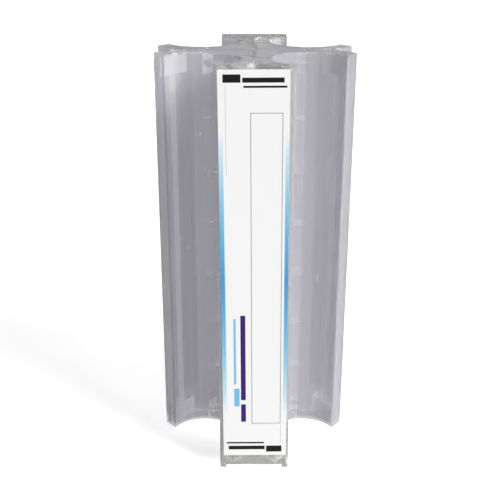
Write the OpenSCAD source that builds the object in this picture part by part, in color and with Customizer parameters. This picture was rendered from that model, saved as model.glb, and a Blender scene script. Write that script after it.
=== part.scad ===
// Petri dish rack
// A four-armed column of clear plastic with a half-round bay between each pair of arms. Round dishes
// are pushed into the bays from the side and stand there in stacks. The column is four identical
// mouldings, set a quarter turn apart, which peg into each other along the seams in the middle of the
// arms. A snap-on channel holds the seam of the front arm and of the back arm, and the front one
// carries the label.
//
// Frame: millimetres, +Z up. The origin is the middle of the column on the surface that it stands on,
// +Y points to the back and the label faces -Y.

/* [Dishes] */
// Diameter of the dish lids
dish_d = 62; // [50:0.5:74]
// Play between a lid and the wall of its bay, on the radius
dish_play = 1.6; // [0.6:0.1:3]
// Angle by which the wall of a bay runs on past the middle of the arms on either side
bay_wrap = 34.6; // [28:0.2:42]

/* [Bay mouldings] */
// Height of the mouldings
column_h = 341.5; // [200:0.5:460]
// Width of an arm at its narrowest, between two bays
neck_w = 24.8; // [20:0.2:32]
// Wall thickness of the mouldings
wall_t = 1.8; // [1.2:0.1:1.8]
// Thickness of the plates that close each moulding at the top and bottom
plate_t = 2; // [1.2:0.1:4]
// Distance from the seam to which the rounded edge of a plate draws back at the groove's root
lobe_gap = 4.2; // [3:0.1:6]
// Distance along the groove's wall, from its root, at which that edge meets it
lobe_run = 9.6; // [7:0.1:12]
// Gap between neighbouring mouldings
seam_gap = 0.3; // [0.2:0.05:0.6]
// Radius of each moulding's corner in the middle of the column
core_r = 8.5; // [5:0.5:10]

/* [Arm ends] */
// Diameter of the bead along each edge of a bay
bead_d = 2.2; // [2:0.1:2.4]
// Distance that an arm's tips stand out past the ridges beside the bays
tip_out = 7.1; // [5:0.1:10]
// Distance of the tips inward from those ridges
tip_in = 8; // [5:0.1:9]
// Depth of the groove between the two tips of an arm
groove_depth = 13.2; // [10:0.1:16]
// Width of the strip on which two mouldings meet behind the groove
seat_w = 4.5; // [2:0.5:6]

/* [Braces, ribs and pegs] */
// Height of the braces at the top and bottom of the mouldings
brace_h = 18; // [8:1:40]
// Thickness of the braces
brace_t = 1.6; // [1:0.1:2.4]
// Distance of the outer brace's foot from the middle of the column
outer_brace_x = 57; // [52:0.5:60]
// Distance of the inner brace's foot from the middle of the column
inner_brace_x = 33.5; // [32:0.5:37]
// Distance from the middle of the column to the edge of the web along a seam
web_reach = 42; // [40:0.5:44]
// Number of rib levels
rib_levels = 8; // [3:1:12]
// Distance of the first and last rib levels from the ends of the moulding
rib_inset = 9.3; // [6:0.1:14]
// Thickness of the ribs
rib_t = 1.6; // [1:0.1:2.4]
// Width of the ribs
rib_w = 12; // [8:0.5:14]
// Diameter of the pegs that join the mouldings at each rib level
peg_d = 6.6; // [4:0.1:7]
// Clearance round and behind each peg
peg_clearance = 0.15; // [0.1:0.05:0.3]
// Distance of the pegs' middle from the edge of the web along a seam
peg_inset = 4.5; // [4:0.1:6]

/* [Snap-on channels] */
// Thickness of the channels' faces
face_t = 1.8; // [1.2:0.1:2.4]
// Thickness of the channels' sides and ribs
side_t = 1.6; // [1.2:0.1:2.2]
// Clearance between a channel and the arm that it holds
channel_clearance = 0.3; // [0.2:0.05:0.5]
// Space between an arm's tips and the face of its channel
face_standoff = 6.3; // [2:0.1:8]
// Depth of the snap lips behind the ridges
lip_bite = 1.2; // [0.6:0.1:1.6]
// Width of the feet below a channel's corners and of the ears above the front channel's corners
ear_w = 5.2; // [4:0.1:8]
// Height of the middle of an ear's hole above the channel
ear_rise = 2.6; // [0.6:0.1:4]
// Diameter of the hole in each ear
ear_hole_d = 2.2; // [1:0.1:3]
// Height of the feet below the face
foot_h = 2.6; // [1:0.1:6]

/* [Label] */
// Margin between the label's long sides and the edges of the channel
label_margin = 2.4; // [2:0.1:6]
// Distance of the label's upper edge from the top of the channel
label_top_gap = 0.5; // [0.5:0.1:6]
// Distance of the label's lower edge from the floor
label_bottom = 12.5; // [8:0.5:30]
// Thickness of the label
label_t = 0.4; // [0.2:0.1:1]
// Sideways shift of the label from the middle of the channel
label_shift = -0.6; // [-0.6:0.1:0.6]
// Lean of the label to the left at its top, in degrees, as it was stuck on by hand
label_lean = 0.45; // [0:0.05:0.5]

/* [Hidden] */
$fn = 72;
bay_fn = 144;                               // facets of a bay's circle

clear_plastic = [0.80, 0.81, 0.83, 0.75];
label_card = [0.95, 0.96, 0.96];

bay_r = dish_d / 2 + dish_play;
bay_c = bay_r + neck_w / 2;                 // distance of a bay's axis from the seams beside it
skin_r = bay_r + wall_t / 2;                // middle of the bay wall
root_r = bay_r + 0.75 * wall_t;             // where plates, ribs and posts end inside the bay wall
seam_y = seam_gap / 2;                      // outer face of a moulding along a seam
web_y = seam_y + wall_t / 2;                // middle of a wall along a seam
core_c = core_r + seam_y;

// Corner points of an arm's end, along the middle of its wall, for the arm on +X
ridge = [bay_c + skin_r * cos(bay_wrap), bay_c - skin_r * sin(bay_wrap)];
tip = ridge + [tip_out, -tip_in];
groove = [tip[0] - groove_depth, web_y];
seat = [groove[0] - seat_w, web_y];
arm_end_path = [ridge, tip, groove, seat];
arm_reach = beside(arm_end_path, wall_t / 2)[1][0];
brace_angle = atan2(tip[1] - groove[1], tip[0] - groove[0]);

// Rounded edge of a plate, from the groove's wall to the end of the web
lobe_steps = 8;
lobe_end = groove + lobe_run * unit(tip - groove);
lobe_edge = [
    for (i = [lobe_steps : -1 : 0])
        curve([web_reach, seam_y], [groove[0], lobe_gap], lobe_end, i / lobe_steps)
];

rib_pitch = (column_h - 2 * rib_inset) / (rib_levels - 1);
peg_x = web_reach - peg_inset;

// Section of a channel, for the arm on +X
channel_half_w = ridge[1] + bead_d / 2 + channel_clearance + side_t;
face_back = arm_reach + face_standoff;
face_front = face_back + face_t;
lip_y = ridge[1] + bead_d / 2 - lip_bite;
lip_x = bay_c + sqrt(pow(bay_r - channel_clearance, 2) - pow(bay_c - lip_y, 2));

label_w = 2 * (channel_half_w - label_margin);
label_h = column_h - label_top_gap - label_bottom;

// ---- Helpers ----

function unit(v) = v / norm(v);
function turned_left(v) = [-v[1], v[0]];

function backwards(list) = [for (i = [len(list) - 1 : -1 : 0]) list[i]];

// Point at share t of the curve that leaves a towards b and reaches c from b
function curve(a, b, c, t) = pow(1 - t, 2) * a + 2 * t * (1 - t) * b + pow(t, 2) * c;

// Corner of the line that runs at distance d to the left of the path a, b, c
function mitre(a, b, c, d) =
    let (m = turned_left(unit(b - a)), n = turned_left(unit(c - b)))
    b + d * (m + n) / (1 + m * n);

// The line at distance d to the left of a path
function beside(path, d) =
    let (last = len(path) - 1)
    [
        for (i = [0 : last])
            let (
                before = i == 0 ? 2 * path[0] - path[1] : path[i - 1],
                after = i == last ? 2 * path[last] - path[last - 1] : path[i + 1]
            )
            mitre(before, path[i], after, d)
    ];

// A wall of thickness t along a path, with square ends
module wall(path, t) {
    polygon(concat(beside(path, t / 2), backwards(beside(path, -t / 2))));
}

// The children for the arm on +X, and their mirror image for the arm on +Y
module on_both_arms() {
    children();
    mirror([1, -1]) children();
}

// ---- Bay moulding: plan outlines, with its bay between the arms on +X and +Y ----

module bay_wall_outline() {
    far = 3 * bay_r;
    translate([bay_c, bay_c]) difference() {
        circle(r = bay_r + wall_t, $fn = bay_fn);
        circle(r = bay_r, $fn = bay_fn);
        polygon([
            [0, 0],
            far * [cos(bay_wrap), -sin(bay_wrap)],
            [far, far],
            far * [-sin(bay_wrap), cos(bay_wrap)]
        ]);
    }
}

module arm_end_outline() {
    translate(ridge) circle(d = bead_d);
    wall(arm_end_path, wall_t);
}

module web_outline() {
    translate([core_c, seam_y]) square([web_reach - core_c, wall_t]);
}

module core_corner_outline() {
    intersection() {
        translate([core_c, core_c]) difference() {
            circle(r = core_r);
            circle(r = core_r - wall_t);
        }
        translate([seam_y, seam_y]) square(core_r);
    }
}

// Everything between the bay wall and the given edge along an arm, from its tip to the core
module filling_outline(edge) {
    half = concat([ridge, tip], edge, [[core_c, seam_y]]);
    difference() {
        union() {
            polygon(concat([[bay_c, bay_c]], half, backwards([for (p = half) [p[1], p[0]]])));
            on_both_arms() arm_end_outline();
            translate([core_c, core_c]) circle(r = core_r);
        }
        translate([bay_c, bay_c]) circle(r = root_r, $fn = bay_fn);
    }
}

module inside_outline() {
    filling_outline([groove, [groove[0], seam_y]]);
}

module plate_outline() {
    filling_outline(lobe_edge);
}

// Braces that lie parallel to the groove's wall
module brace_outline() {
    intersection() {
        inside_outline();
        translate([0, seam_y]) square([arm_reach, bay_c]);
        for (foot_x = [inner_brace_x, outer_brace_x])
            translate([foot_x, seam_y]) rotate(brace_angle)
                translate([-brace_t, -brace_t / 2]) square([bay_r + brace_t, brace_t]);
    }
}

module rib_outline() {
    intersection() {
        inside_outline();
        translate([web_reach - rib_w, seam_y]) square([rib_w, bay_c - seam_y]);
    }
}

// ---- Bay moulding ----

module at_rib_levels() {
    for (level = [0 : rib_levels - 1])
        translate([0, 0, rib_inset + level * rib_pitch]) children();
}

module at_both_ends(h) {
    for (z = [0, column_h - h])
        translate([0, 0, z]) linear_extrude(h) children();
}

// Posts between the bay wall and the web of the arm at +X
module posts() {
    intersection() {
        linear_extrude(column_h) inside_outline();
        at_rib_levels() translate([peg_x, bay_c, 0]) rotate([90, 0, 0])
            cylinder(d = peg_d, h = bay_c - seam_y);
    }
}

// Pegs on the ends of the posts, which fill the sockets of the next moulding
module pegs() {
    at_rib_levels() translate([peg_x, seam_y + wall_t / 2, 0]) rotate([90, 0, 0])
        cylinder(d = peg_d, h = seam_gap + 1.5 * wall_t - peg_clearance);
}

// Sockets through the web of the arm at +Y
module sockets() {
    at_rib_levels() translate([seam_y - wall_t / 2, peg_x, 0]) rotate([0, 90, 0])
        cylinder(d = peg_d + 2 * peg_clearance, h = 1.5 * wall_t + peg_clearance);
}

module bay_moulding() {
    color(clear_plastic) difference() {
        union() {
            linear_extrude(column_h) {
                bay_wall_outline();
                on_both_arms() arm_end_outline();
                on_both_arms() web_outline();
                core_corner_outline();
            }
            at_both_ends(plate_t) plate_outline();
            at_both_ends(brace_h) on_both_arms() brace_outline();
            at_rib_levels() translate([0, 0, -rib_t / 2])
                linear_extrude(rib_t) on_both_arms() rib_outline();
            posts();
            pegs();
        }
        sockets();
    }
}

module bay_back_right() {
    bay_moulding();
}

module bay_back_left() {
    rotate(90) bay_moulding();
}

module bay_front_left() {
    rotate(180) bay_moulding();
}

module bay_front_right() {
    rotate(270) bay_moulding();
}

// ---- Snap-on channels ----

// Plan of the channel on the arm at +X
module channel_outline() {
    // Face
    translate([face_back, -channel_half_w]) square([face_t, 2 * channel_half_w]);
    for (side = [-1, 1]) scale([1, side]) {
        // Side
        translate([lip_x - side_t, channel_half_w - side_t])
            square([face_front - lip_x + side_t, side_t]);
        // Snap lip behind the ridge
        translate([lip_x - side_t, lip_y]) square([side_t, channel_half_w - lip_y]);
        // Rib that stands on the arm's tip
        translate([arm_reach + channel_clearance, tip[1] - side_t / 2])
            square([face_standoff - channel_clearance + face_t / 2, side_t]);
    }
}

module ear() {
    rotate([90, 0, 90]) linear_extrude(face_t) difference() {
        union() {
            translate([-ear_w / 2, -face_t]) square([ear_w, ear_rise + face_t]);
            translate([0, ear_rise]) circle(d = ear_w);
        }
        translate([0, ear_rise]) circle(d = ear_hole_d);
    }
}

module foot() {
    translate([0, -ear_w / 2, 0]) cube([face_t, ear_w, 2 * foot_h]);
}

module at_face_corners() {
    for (side = [-1, 1])
        translate([face_back, side * (channel_half_w - ear_w / 2), 0]) children();
}

module channel() {
    translate([0, 0, foot_h]) linear_extrude(column_h - foot_h) channel_outline();
    at_face_corners() foot();
}

module front_channel() {
    color(clear_plastic) rotate(-90) union() {
        channel();
        at_face_corners() translate([0, 0, column_h]) ear();
    }
}

module back_channel() {
    color(clear_plastic) rotate(90) channel();
}

// ---- Label ----

module label() {
    color(label_card)
        translate([label_shift, -face_front, label_bottom + label_h / 2])
            rotate([0, -label_lean, 0])
                translate([-label_w / 2, -label_t, -label_h / 2])
                    cube([label_w, label_t, label_h]);
}

bay_front_left();
bay_front_right();
bay_back_left();
bay_back_right();
front_channel();
back_channel();
label();
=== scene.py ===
"""Dresses the petri dish rack: clear mouldings, snap-on channels and the printed label card.

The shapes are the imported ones, in metres. This script gives each of them its finish, and sets up a
plain studio with a pale floor and soft light.
"""

import logging
import math
from dataclasses import dataclass
from enum import Enum

import bpy
from mathutils import Matrix, Vector

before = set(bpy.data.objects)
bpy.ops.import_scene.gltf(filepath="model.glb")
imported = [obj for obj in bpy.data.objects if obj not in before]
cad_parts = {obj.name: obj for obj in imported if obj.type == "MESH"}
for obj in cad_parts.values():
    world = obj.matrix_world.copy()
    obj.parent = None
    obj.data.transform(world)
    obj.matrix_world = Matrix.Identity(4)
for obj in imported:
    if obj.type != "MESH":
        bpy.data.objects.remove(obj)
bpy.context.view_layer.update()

logging.basicConfig(level=logging.INFO, format="%(name)s: %(message)s")
LOG = logging.getLogger("dish_rack")

MM = 0.001
BOUNCES = 32
CLEAR_BOUNCES = 48

Colour = tuple[float, float, float]
Place = tuple[float, float, float]
Socket = bpy.types.NodeSocket
Term = Socket | float


class Step(Enum):
    """How a mask goes from 0 to 1."""

    LINEAR = "LINEAR"
    SMOOTH = "SMOOTHSTEP"


class Nodes:
    """Adds shader nodes to one tree and joins them."""

    def __init__(self, tree: bpy.types.NodeTree) -> None:
        """Keeps the tree that the nodes go into."""
        self.tree = tree

    def add(self, kind: str, **settings: object) -> bpy.types.Node:
        """Adds a node.

        Args:
            kind: the node's type, without its ShaderNode prefix.
            **settings: properties of the node.

        Returns:
            The new node.
        """
        node = self.tree.nodes.new("ShaderNode" + kind)
        for name, value in settings.items():
            setattr(node, name, value)
        return node

    def feed(self, target: Socket, value: object) -> None:
        """Links a socket to the target, or sets the target to a plain value."""
        if isinstance(value, Socket):
            self.tree.links.new(value, target)
        elif isinstance(value, tuple) and target.type == "RGBA":
            target.default_value = (*value, 1.0)
        else:
            target.default_value = value

    def math(self, operation: str, *terms: Term, clamp: bool = False) -> Socket:
        """Adds a Math node.

        Args:
            operation: what the node does.
            *terms: its inputs, numbers or sockets.
            clamp: whether the result is held between 0 and 1.

        Returns:
            The result's socket.
        """
        node = self.add("Math", operation=operation, use_clamp=clamp)
        for target, term in zip(node.inputs, terms):
            self.feed(target, term)
        return node.outputs[0]

    def ramp(self, value: Term, low: Term, high: Term, step: Step = Step.SMOOTH) -> Socket:
        """Goes from 0 where the value is low to 1 where it is high."""
        node = self.add("MapRange", interpolation_type=step.value, clamp=True)
        for name, term in (("Value", value), ("From Min", low), ("From Max", high)):
            self.feed(node.inputs[name], term)
        return node.outputs["Result"]

    def scaled(self, value: Term, low: float, high: float) -> Socket:
        """Takes a value from 0 to 1 onto the span from low to high."""
        return self.math("MULTIPLY_ADD", value, high - low, low)

    def mix(self, share: Term, first: object, second: object, blend: str = "MIX") -> Socket:
        """Mixes two colours.

        Args:
            share: the share of the second one.
            first: a colour or a socket.
            second: a colour or a socket.
            blend: how the second one goes over the first.

        Returns:
            The mixed colour's socket.
        """
        node = self.add("Mix", data_type="RGBA", blend_type=blend, clamp_factor=True)
        self.feed(node.inputs["Factor"], share)
        self.feed(node.inputs[6], first)
        self.feed(node.inputs[7], second)
        return node.outputs[2]

    def place(self, shift: Place = (0.0, 0.0, 0.0), turn: Place = (0.0, 0.0, 0.0),
              scale: Place = (1.0, 1.0, 1.0)) -> Socket:
        """Object coordinates through a Mapping node.

        Args:
            shift: where the pattern's middle is, in metres.
            turn: how it is turned, in radians.
            scale: the size of the pattern's unit.

        Returns:
            The vector's socket.
        """
        node = self.add("Mapping", vector_type="TEXTURE")
        self.feed(node.inputs["Vector"], self.add("TexCoord").outputs["Object"])
        self.feed(node.inputs["Location"], shift)
        self.feed(node.inputs["Rotation"], turn)
        self.feed(node.inputs["Scale"], scale)
        return node.outputs["Vector"]

    def parts(self, vector: Socket) -> list[Socket]:
        """The three parts of a vector."""
        node = self.add("SeparateXYZ")
        self.feed(node.inputs[0], vector)
        return list(node.outputs)

    def noise(self, vector: Socket, scale: float = 1.0, detail: float = 1.0) -> Socket:
        """Cloudy noise from 0 to 1."""
        node = self.add("TexNoise")
        self.feed(node.inputs["Vector"], vector)
        node.inputs["Scale"].default_value = scale
        node.inputs["Detail"].default_value = detail
        return node.outputs["Fac"]

    def use(self, group: bpy.types.NodeTree, **values: object) -> bpy.types.Node:
        """Places a node group and feeds its inputs, with _ for a space in their names."""
        node = self.add("Group", node_tree=group)
        for name, value in values.items():
            self.feed(node.inputs[name.replace("_", " ")], value)
        return node


class EffectGroup:
    """A shader node group with named inputs and outputs."""

    name = "effect"
    inputs: tuple[tuple[str, str, object], ...] = ()
    outputs: tuple[tuple[str, str], ...] = ()

    def __init__(self) -> None:
        """Makes the group's tree and sockets, and fills it."""
        self.tree = bpy.data.node_groups.new(self.name, "ShaderNodeTree")
        for name, kind, value in self.inputs:
            socket = self.tree.interface.new_socket(name, in_out="INPUT", socket_type=kind)
            socket.default_value = value
        for name, kind in self.outputs:
            self.tree.interface.new_socket(name, in_out="OUTPUT", socket_type=kind)
        self.nodes = Nodes(self.tree)
        self.given = self.tree.nodes.new("NodeGroupInput").outputs
        self.result = self.tree.nodes.new("NodeGroupOutput").inputs
        self.fill()

    def fill(self) -> None:
        """Adds the nodes between the group's inputs and outputs."""
        raise NotImplementedError


class Inside(EffectGroup):
    """1 where a value is nearer to Middle than Half, with a soft edge."""

    name = "inside"
    inputs = (
        ("Value", "NodeSocketFloat", 0.0),
        ("Middle", "NodeSocketFloat", 0.0),
        ("Half", "NodeSocketFloat", 1.0),
        ("Soft", "NodeSocketFloat", 0.1),
    )
    outputs = (("Mask", "NodeSocketFloat"),)

    def fill(self) -> None:
        """Takes the distance from the middle and steps down where it passes Half."""
        nodes, given = self.nodes, self.given
        away = nodes.math("ABSOLUTE", nodes.math("SUBTRACT", given["Value"], given["Middle"]))
        far = nodes.math("ADD", given["Half"], given["Soft"])
        near = nodes.math("SUBTRACT", given["Half"], given["Soft"])
        nodes.feed(self.result["Mask"], nodes.ramp(away, far, near))


class MouldedSkin(EffectGroup):
    """Flow streaks, scuffs and a faint ripple of moulded plastic that stands upright.

    Each unit is a length in metres and a share of the streaks' width. Each span is the part of the
    noise over which a mask rises.
    """

    name = "moulded_skin"
    inputs = (
        ("Vector", "NodeSocketVector", (0.0, 0.0, 0.0)),
        ("Streak Width", "NodeSocketFloat", 5.0),
    )
    outputs = (
        ("Tone", "NodeSocketFloat"),
        ("Scuff", "NodeSocketFloat"),
        ("Height", "NodeSocketFloat"),
    )
    streak_unit = (0.35, 1.0)
    streak_span = (0.3, 0.7)
    streak_detail = 3.0
    scratch_unit = (0.02, 0.09)
    scratch_span = (0.72, 0.78)
    patch_unit = (0.045, 2.2)
    patch_span = (0.56, 0.66)
    ripple_unit = (0.06, 2.0)

    def fill(self) -> None:
        """Stretches noise along the height for streaks, and thins it out for scuffs."""
        nodes, given = self.nodes, self.given
        x, y, z = nodes.parts(given["Vector"])
        width = nodes.math("MULTIPLY", given["Streak Width"], MM)

        def stretched(length: float, narrow: float) -> Socket:
            """The point, with each axis divided by the unit along it."""
            both = nodes.add("CombineXYZ")
            across = nodes.math("MULTIPLY", width, narrow)
            nodes.feed(both.inputs[0], nodes.math("DIVIDE", x, across))
            nodes.feed(both.inputs[1], nodes.math("DIVIDE", y, across))
            nodes.feed(both.inputs[2], nodes.math("DIVIDE", z, length))
            return both.outputs[0]

        streaks = nodes.noise(stretched(*self.streak_unit), detail=self.streak_detail)
        nodes.feed(self.result["Tone"], nodes.ramp(streaks, *self.streak_span))
        scratches = nodes.ramp(nodes.noise(stretched(*self.scratch_unit)), *self.scratch_span)
        patches = nodes.ramp(nodes.noise(stretched(*self.patch_unit)), *self.patch_span)
        nodes.feed(self.result["Scuff"], nodes.math("MULTIPLY", scratches, patches))
        nodes.feed(self.result["Height"], nodes.noise(stretched(*self.ripple_unit)))


@dataclass(frozen=True)
class RackSizes:
    """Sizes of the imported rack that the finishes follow, in metres."""

    height: float = 341.5 * MM
    brace_height: float = 18.0 * MM
    brace_feet: tuple[float, float] = (33.5 * MM, 57.0 * MM)
    brace_lean: float = math.radians(52.1)
    brace_half: float = 0.8 * MM
    rib_first: float = 9.3 * MM
    rib_pitch: float = 46.13 * MM
    rib_half: float = 0.8 * MM
    rib_span: tuple[float, float] = (30.0 * MM, 42.0 * MM)
    seat_span: tuple[float, float] = (66.0 * MM, 70.3 * MM)
    seat_half: float = 6.0 * MM
    slack: float = 0.2 * MM


class Zone(Enum):
    """The kinds of face that a moulding has, in the order of its material slots."""

    CLEAR = 0
    # Braces and rib edges: a frosted surface, made paler as a painted highlight
    FROST_AND_HIGHLIGHT = 1
    # Seats behind the grooves: a painted cream highlight
    SEAT_HIGHLIGHT = 2


@dataclass(frozen=True)
class MouldingZones:
    """Tells a moulding's braces, ribs and seats from its clear walls.

    A face is upright where its normal rises by less than the share named here.
    """

    sizes: RackSizes
    upright_rise: float = 0.5

    def of(self, face: bpy.types.MeshPolygon) -> Zone:
        """The zone of a face, with the four arms folded onto one.

        Args:
            face: a face of a moulding, in the frame's metres.

        Returns:
            Paler, rougher faces for braces and the ribs' edges, partly a frosted surface and partly
            a painted highlight; a painted cream highlight for the seats behind the arms' grooves.
        """
        sizes = self.sizes
        x, y, z = face.center
        along, across = max(abs(x), abs(y)), min(abs(x), abs(y))
        from_end = min(z, sizes.height - z)
        off = along * math.sin(sizes.brace_lean) - across * math.cos(sizes.brace_lean)
        to_sheet = min(abs(off - foot * math.sin(sizes.brace_lean)) for foot in sizes.brace_feet)
        if to_sheet < sizes.brace_half + sizes.slack and from_end < sizes.brace_height + sizes.slack:
            return Zone.FROST_AND_HIGHLIGHT
        level = (z - sizes.rib_first) / sizes.rib_pitch
        to_rib = abs(level - round(level)) * sizes.rib_pitch
        low, high = sizes.rib_span
        upright = abs(face.normal.z) < self.upright_rise
        if upright and to_rib < sizes.rib_half + sizes.slack and low < along < high:
            return Zone.FROST_AND_HIGHLIGHT
        # The seats get the painted cream highlight
        low, high = sizes.seat_span
        if across < sizes.seat_half and low < along < high:
            return Zone.SEAT_HIGHLIGHT
        return Zone.CLEAR


class Finish:
    """What all finishes share: a named material with one Principled shader."""

    name: str

    def start(self) -> tuple[bpy.types.Material, Nodes, bpy.types.Node]:
        """Makes the material.

        Returns:
            The material, its nodes and its shader.
        """
        material = bpy.data.materials.new(self.name)
        material.use_nodes = True
        return material, Nodes(material.node_tree), material.node_tree.nodes["Principled BSDF"]


@dataclass(frozen=True)
class MouldedPlastic(Finish):
    """Clear moulded plastic with a slight haze, with a painted highlight that makes level faces
    paler, and paler where it is scuffed.
    """

    name: str
    body: Colour
    # The colour of the painted highlight on level faces, and of the real scuffs
    pale: Colour = (0.97, 0.97, 0.96)
    streak_shade: float = 0.94
    roughness: float = 0.14
    scuffed_roughness: float = 0.35
    transmission: float = 0.79
    ior: float = 1.5
    streak_width: float = 5.0
    top_highlight_rise: tuple[float, float] = (0.8, 0.95)
    top_highlight_share: float = 0.55
    lit_through: float = 0.87
    ripple: float = 0.25 * MM

    def build(self, skin: MouldedSkin) -> bpy.types.Material:
        """Makes the material.

        Args:
            skin: the streaks and scuffs.

        Returns:
            The material.
        """
        material, nodes, shader = self.start()
        surface = nodes.use(skin.tree, Vector=nodes.place(), Streak_Width=self.streak_width)
        streak = tuple(part * self.streak_shade for part in self.body)
        colour = nodes.mix(surface.outputs["Tone"], streak, self.body)
        # Painted highlight: faces that point up are mixed towards the pale colour. Scuffs, which are
        # real wear, are paler as well
        rise = nodes.math("ABSOLUTE", nodes.parts(nodes.add("NewGeometry").outputs["Normal"])[2])
        level = nodes.math("MULTIPLY", nodes.ramp(rise, *self.top_highlight_rise), self.top_highlight_share)
        pale = nodes.math("MAXIMUM", level, surface.outputs["Scuff"])
        nodes.feed(shader.inputs["Base Color"], nodes.mix(pale, colour, self.pale))

        # Lamps shine through the thin walls: only shadow rays see them as mostly open
        shadow = nodes.add("LightPath").outputs["Is Shadow Ray"]
        nodes.feed(shader.inputs["Alpha"], nodes.scaled(shadow, 1.0, 1.0 - self.lit_through))

        roughness = nodes.scaled(surface.outputs["Scuff"], self.roughness, self.scuffed_roughness)
        nodes.feed(shader.inputs["Roughness"], roughness)
        shader.inputs["Transmission Weight"].default_value = self.transmission
        shader.inputs["IOR"].default_value = self.ior
        bump = nodes.add("Bump")
        bump.inputs["Distance"].default_value = self.ripple
        nodes.feed(bump.inputs["Height"], surface.outputs["Height"])
        nodes.feed(shader.inputs["Normal"], bump.outputs["Normal"])
        return material


@dataclass(frozen=True)
class PrintedRectangle:
    """A filled rectangle of the label's print, in millimetres from the label's middle."""

    ink: Colour
    left: float
    right: float
    low: float
    high: float


@dataclass(frozen=True)
class LabelCard(Finish):
    """Printed card: fading side bands, thin rules, a write-on box and plain bars."""

    name: str = "label_card"
    paper: Colour = (0.90, 0.905, 0.89)
    blue: Colour = (0.075, 0.37, 0.77)
    violet: Colour = (0.045, 0.012, 0.16)
    sky: Colour = (0.19, 0.50, 0.80)
    black: Colour = (0.006, 0.006, 0.006)
    hairline: Colour = (0.20, 0.19, 0.24)
    faint: Colour = (0.62, 0.62, 0.63)
    middle: Place = (-0.6 * MM, 0.0, 176.75 * MM)
    lean: float = math.radians(0.45)
    band_middle: float = 0.25
    band_inner: float = 23.4
    band_soft: float = 0.25
    band_reach: float = 122.0
    band_peak: float = -3.0
    box: tuple[float, float, float, float] = (-2.6, 21.6, -132.8, 132.6)
    box_line: float = 0.5
    soft: float = 0.09
    grain_scale: float = 1.5
    grain_detail: float = 3.0
    grain_share: float = 0.25
    grain_shade: float = 0.97
    grain_height: float = 0.01 * MM
    roughness: tuple[float, float] = (0.41, 0.51)
    shine: float = 0.15

    def bars(self) -> list[PrintedRectangle]:
        """The plain bars and thin rules at both ends and beside the write-on box."""
        return [
            PrintedRectangle(self.faint, -21.1, -20.6, 85.0, 152.0),
            PrintedRectangle(self.faint, 21.6, 22.1, -152.0, -133.0),
            PrintedRectangle(self.black, -22.7, -9.6, 154.8, 160.8),
            PrintedRectangle(self.black, -8.4, 22.3, 154.8, 158.4),
            PrintedRectangle(self.black, -7.6, 24.4, 151.0, 152.5),
            PrintedRectangle(self.black, 9.6, 22.7, -160.8, -154.8),
            PrintedRectangle(self.black, -22.3, 8.4, -158.4, -154.8),
            PrintedRectangle(self.black, -24.0, 7.8, -152.5, -151.0),
            PrintedRectangle(self.violet, -11.4, -7.4, -110.0, -32.0),
            PrintedRectangle(self.sky, -17.0, -15.2, -95.0, -35.0),
            PrintedRectangle(self.sky, -17.0, -12.6, -116.0, -99.0),
            PrintedRectangle(self.violet, -11.4, -7.4, -131.0, -114.0),
        ]

    def build(self, inside: Inside) -> bpy.types.Material:
        """Makes the material.

        Args:
            inside: the mask group.

        Returns:
            The material.
        """
        material, nodes, shader = self.start()
        point = nodes.place(self.middle, (0.0, -self.lean, 0.0), (MM, MM, MM))
        u, _, v = nodes.parts(point)

        def rectangle(left: float, right: float, low: float, high: float) -> Socket:
            """The mask of an upright rectangle."""
            sides = [
                nodes.use(inside.tree, Value=value, Middle=(a + b) / 2, Half=(b - a) / 2,
                          Soft=self.soft).outputs["Mask"]
                for value, a, b in ((u, left, right), (v, low, high))
            ]
            return nodes.math("MULTIPLY", *sides)

        grain = nodes.noise(point, self.grain_scale, self.grain_detail)
        shaded = tuple(part * self.grain_shade for part in self.paper)
        colour = nodes.mix(nodes.scaled(grain, 0.0, self.grain_share), self.paper, shaded)

        # Side bands: deepest in colour near mid-height, where the blue is raised to the power of 1
        out = nodes.math("ABSOLUTE", nodes.math("SUBTRACT", u, self.band_middle))
        inner, soft = self.band_inner, self.band_soft
        band = nodes.ramp(out, inner - soft, inner + soft)
        off_peak = nodes.math("ABSOLUTE", nodes.math("SUBTRACT", v, self.band_peak))
        depth = nodes.ramp(off_peak, self.band_reach, 0.0, Step.LINEAR)
        tint = nodes.add("Gamma")
        nodes.feed(tint.inputs["Color"], self.blue)
        nodes.feed(tint.inputs["Gamma"], nodes.math("MULTIPLY", band, depth))
        colour = nodes.mix(1.0, colour, tint.outputs["Color"], "MULTIPLY")

        # Write-on box: the outer rectangle less the inner one
        left, right, low, high = self.box
        line = self.box_line
        whole = rectangle(left, right, low, high)
        blank = rectangle(left + line, right - line, low + line, high - line)
        outline = nodes.math("SUBTRACT", whole, blank, clamp=True)
        colour = nodes.mix(outline, colour, self.hairline)

        for bar in self.bars():
            mask = rectangle(bar.left, bar.right, bar.low, bar.high)
            colour = nodes.mix(mask, colour, bar.ink)

        nodes.feed(shader.inputs["Base Color"], colour)
        nodes.feed(shader.inputs["Roughness"], nodes.scaled(grain, *self.roughness))
        shader.inputs["Specular IOR Level"].default_value = self.shine
        bump = nodes.add("Bump")
        bump.inputs["Distance"].default_value = self.grain_height
        nodes.feed(bump.inputs["Height"], grain)
        nodes.feed(shader.inputs["Normal"], bump.outputs["Normal"])
        return material


@dataclass(frozen=True)
class Lamp:
    """A large soft lamp that lights the column and the floor evenly, with its spread in degrees."""

    name: str
    side: Place
    strength: float
    spread: float

    def build(self) -> None:
        """Makes the lamp."""
        light = bpy.data.lights.new(self.name, "SUN")
        light.angle = math.radians(self.spread)
        light.energy = self.strength
        lamp = bpy.data.objects.new(self.name, light)
        bpy.context.collection.objects.link(lamp)
        lamp.location = self.side
        lamp.rotation_mode = "QUATERNION"
        lamp.rotation_quaternion = (-Vector(self.side)).to_track_quat("-Z", "Y")


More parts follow.
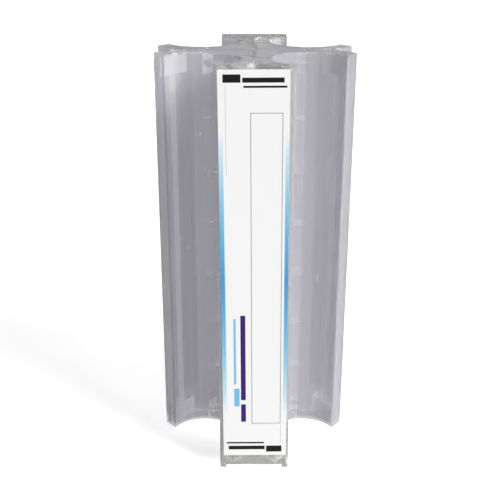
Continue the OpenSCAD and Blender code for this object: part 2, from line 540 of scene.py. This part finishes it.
@dataclass(frozen=True)
class MainCamera:
    """The camera of the main view, with its angles in degrees and its focal length in pixels."""

    place: Place = (-0.00795, -0.72677, 0.45435)
    heading: float = -0.3458
    down: float = 21.6465
    roll: float = 0.2111
    focal: float = 882.275
    picture: float = 500.0
    sensor: float = 36.0
    clip: tuple[float, float] = (0.05, 50.0)

    def build(self) -> None:
        """Makes the camera and gives it to the scene."""
        data = bpy.data.cameras.new("main")
        data.sensor_width = self.sensor
        data.lens = self.sensor * self.focal / self.picture
        data.clip_start, data.clip_end = self.clip
        camera = bpy.data.objects.new("main", data)
        bpy.context.collection.objects.link(camera)
        camera.matrix_world = (
            Matrix.Translation(self.place)
            @ Matrix.Rotation(math.radians(self.heading), 4, "Z")
            @ Matrix.Rotation(math.radians(90.0 - self.down), 4, "X")
            @ Matrix.Rotation(math.radians(self.roll), 4, "Z")
        )
        bpy.context.scene.camera = camera


@dataclass(frozen=True)
class Studio:
    """Floor, surround, lamps and camera."""

    floor_reach: float = 8.0
    floor_paint: Colour = (0.8, 0.8, 0.8)
    floor_paint_behind: Colour = (0.0, 0.0, 0.0)
    floor_roughness: float = 0.9
    floor_glow: float = 0.6
    floor_glow_behind: float = 0.24
    one_pass: float = 0.5
    surround: Colour = (0.27, 0.27, 0.28)
    surround_seen: Colour = (1.0, 1.0, 1.0)
    lamps: tuple[Lamp, ...] = (
        Lamp("key", (0.88, -0.55, 0.56), 3.5, 25.0),
        Lamp("fill", (-0.6, -0.8, 0.4), 0.15, 40.0),
    )

    def build(self) -> None:
        """Makes everything of the studio."""
        self.world()
        self.floor()
        for lamp in self.lamps:
            lamp.build()
            LOG.info("lamp %s", lamp.name)
        MainCamera().build()

    def world(self) -> None:
        """A soft grey surround that the camera sees as white."""
        world = bpy.data.worlds.new("surround")
        bpy.context.scene.world = world
        world.use_nodes = True
        world.node_tree.nodes.clear()
        nodes = Nodes(world.node_tree)
        seen = nodes.add("LightPath").outputs["Is Camera Ray"]
        background = nodes.add("Background")
        nodes.feed(background.inputs["Color"], nodes.mix(seen, self.surround, self.surround_seen))
        nodes.feed(nodes.add("OutputWorld").inputs["Surface"], background.outputs[0])

    def floor(self) -> None:
        """A plain white floor that keeps a soft shadow, and looks grey through the plastic."""
        mesh = bpy.data.meshes.new("floor")
        reach = self.floor_reach
        corners = [(-reach, -reach, 0), (reach, -reach, 0), (reach, reach, 0), (-reach, reach, 0)]
        mesh.from_pydata(corners, [], [tuple(range(len(corners)))])
        floor = bpy.data.objects.new("floor", mesh)
        bpy.context.collection.objects.link(floor)
        material = bpy.data.materials.new("floor")
        material.use_nodes = True
        nodes = Nodes(material.node_tree)
        shader = material.node_tree.nodes["Principled BSDF"]
        shader.inputs["Roughness"].default_value = self.floor_roughness
        shader.inputs["Specular IOR Level"].default_value = 0.0

        # Rays that have passed through plastic meet an even grey in place of the lit paint
        path = nodes.add("LightPath").outputs
        passed = nodes.math("GREATER_THAN", path["Transparent Depth"], self.one_pass)
        behind = nodes.math("MAXIMUM", passed, path["Is Transmission Ray"])
        paint = nodes.mix(behind, self.floor_paint, self.floor_paint_behind)
        nodes.feed(shader.inputs["Base Color"], paint)

        # The paint glows a little for the camera and in reflections, which brings it to white
        direct = nodes.math("MAXIMUM", path["Is Camera Ray"], path["Is Glossy Ray"])
        direct = nodes.math("SUBTRACT", direct, behind, clamp=True)
        white = nodes.math("MULTIPLY", direct, self.floor_glow)
        glow = nodes.add("Emission")
        strength = nodes.math("MULTIPLY_ADD", behind, self.floor_glow_behind, white)
        nodes.feed(glow.inputs["Strength"], strength)
        both = nodes.add("AddShader")
        nodes.feed(both.inputs[0], shader.outputs[0])
        nodes.feed(both.inputs[1], glow.outputs[0])
        nodes.feed(material.node_tree.nodes["Material Output"].inputs["Surface"], both.outputs[0])
        mesh.materials.append(material)


@dataclass
class Dressing:
    """A sub-assembly's nodes and the materials that they wear, one for each zone."""

    nodes: tuple[str, ...]
    materials: tuple[bpy.types.Material, ...]
    zones: MouldingZones | None = None

    def build(self) -> None:
        """Gives each node its materials, and each face of a moulding the one of its zone."""
        for name in self.nodes:
            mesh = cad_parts[name].data
            mesh.materials.clear()
            for material in self.materials:
                mesh.materials.append(material)
            if self.zones is not None:
                zones = [self.zones.of(face).value for face in mesh.polygons]
                mesh.polygons.foreach_set("material_index", zones)
            LOG.info("dressed %s in %s", name, ", ".join(m.name for m in self.materials))


def main() -> None:
    """Dresses the parts and sets up the studio."""
    inside, skin = Inside(), MouldedSkin()
    clear = MouldedPlastic("clear_moulding", body=(0.79, 0.785, 0.825))
    # Braces and rib edges wear a paler, rougher copy: partly a frosted surface, partly a painted
    # highlight
    frost_and_highlight = MouldedPlastic("frost_and_highlight_moulding", body=(0.93, 0.93, 0.93), roughness=0.3,
                             transmission=0.79)
    # The seats wear a painted cream highlight, a paler and less clear copy of the plastic
    seat_highlight = MouldedPlastic("seat_highlight_moulding", body=(0.92, 0.91, 0.84), roughness=0.3,
                           transmission=0.55)
    channel = MouldedPlastic("clear_channel", body=(0.80, 0.79, 0.76))
    columns = ("bay_front_left", "bay_front_right", "bay_back_left", "bay_back_right")
    Dressing(columns, (clear.build(skin), frost_and_highlight.build(skin), seat_highlight.build(skin)),
             MouldingZones(RackSizes())).build()
    Dressing(("front_channel", "back_channel"), (channel.build(skin),)).build()
    Dressing(("label",), (LabelCard().build(inside),)).build()
    Studio().build()
    scene = bpy.context.scene
    scene.view_settings.view_transform = "Standard"
    scene.cycles.max_bounces = BOUNCES
    scene.cycles.transmission_bounces = BOUNCES
    scene.cycles.transparent_max_bounces = CLEAR_BOUNCES


if __name__ == "__main__":
    main()
